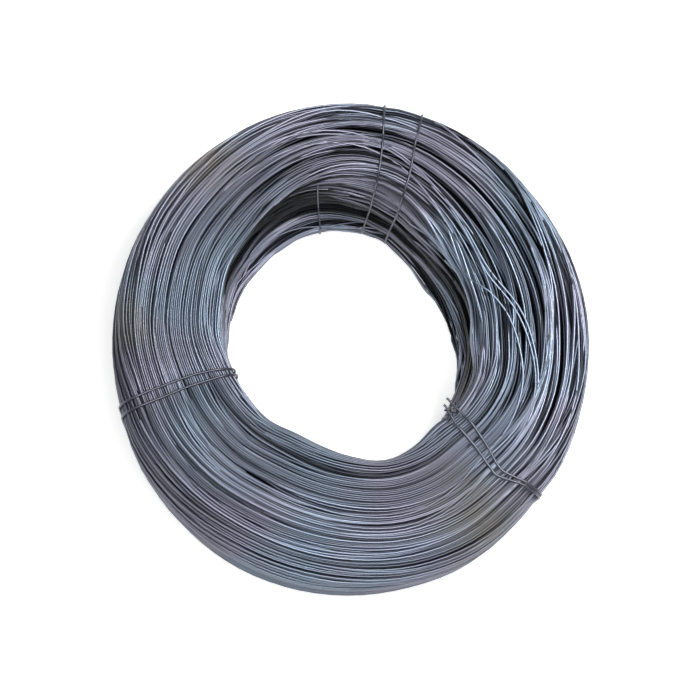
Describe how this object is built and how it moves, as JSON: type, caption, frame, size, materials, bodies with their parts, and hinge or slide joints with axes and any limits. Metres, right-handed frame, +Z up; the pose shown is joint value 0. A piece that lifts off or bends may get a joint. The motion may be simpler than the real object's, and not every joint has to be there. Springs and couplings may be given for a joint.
{
  "type": "coil of annealed wire",
  "caption": "Heavy round coil of dark annealed steel wire lying on its end, with an open bore and wire ties bound round its section.",
  "frame": {"origin": "centre of the bore, on the floor the coil lies on", "axes": "+Z up along the bore axis; +X towards the right and +Y towards the top of the coil's end as it is seen from above"},
  "size_m": [0.45, 0.45, 0.1167],
  "materials": {
    "annealed_wire": "annealed, thin blue-grey oxide",
    "tie_wire": "annealed, rubbed brighter than the coil"
  },
  "bodies": {
    "root": {"wire_coil": "annealed_wire", "left_tie": "tie_wire", "top_tie": "tie_wire", "right_tie": "tie_wire", "inner_tie": "tie_wire"}
  },
  "joints": []
}
